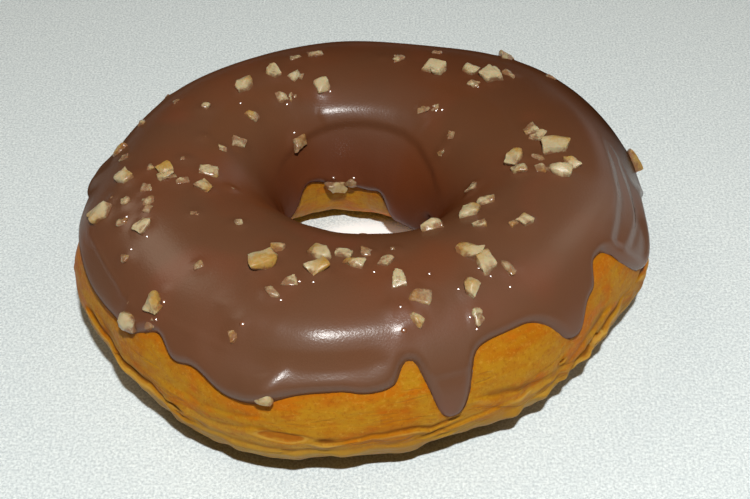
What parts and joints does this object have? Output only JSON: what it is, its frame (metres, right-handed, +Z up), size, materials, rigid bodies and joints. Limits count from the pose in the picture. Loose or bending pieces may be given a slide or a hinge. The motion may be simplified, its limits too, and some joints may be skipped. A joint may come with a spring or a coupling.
{
  "type": "ring doughnut",
  "caption": "Ring doughnut with a fried dough ring, a wavy cap of milk-chocolate icing that runs down in drips, and chopped nuts on top.",
  "frame": {"origin": "middle of the doughnut's box, on the surface that it stands on", "axes": "+Z up through the hole, -Y towards the viewer of the picture, +X to the viewer's right"},
  "size_m": [0.099, 0.0916, 0.0315],
  "materials": {
    "fried_dough": "satin golden-brown fried crust, a little oily",
    "chocolate_icing": "glossy milk-chocolate icing",
    "chopped_nuts": "dull pale chopped nuts, some of them golden"
  },
  "bodies": {
    "root": {"dough": "fried_dough", "icing": "chocolate_icing"}
  },
  "joints": []
}
